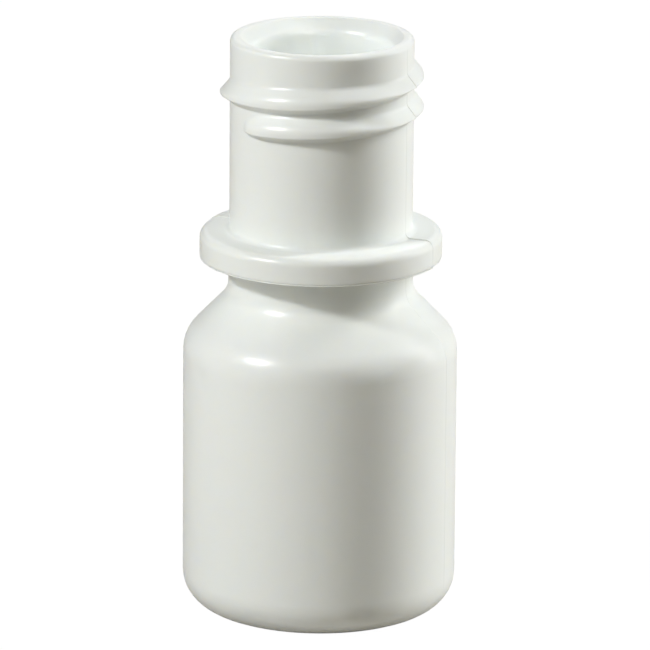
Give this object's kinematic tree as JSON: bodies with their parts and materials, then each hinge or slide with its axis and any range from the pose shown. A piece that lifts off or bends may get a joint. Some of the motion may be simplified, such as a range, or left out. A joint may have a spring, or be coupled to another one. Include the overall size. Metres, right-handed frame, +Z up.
{
  "type": "reagent bottle",
  "caption": "Small narrow-mouth reagent bottle of white polyethylene with a round body, sloping shoulder, neck collar and external screw thread, shown open without its cap.",
  "frame": {"origin": "centre of the standing ring, on the surface that the bottle stands on", "axes": "+Z up along the bottle's axis, out of the mouth; -Y towards the picture's camera"},
  "size_m": [0.0264, 0.0264, 0.0565],
  "materials": {
    "white_polyethylene": "smooth moulded, satin gloss"
  },
  "bodies": {
    "root": {"bottle": "white_polyethylene"}
  },
  "joints": []
}
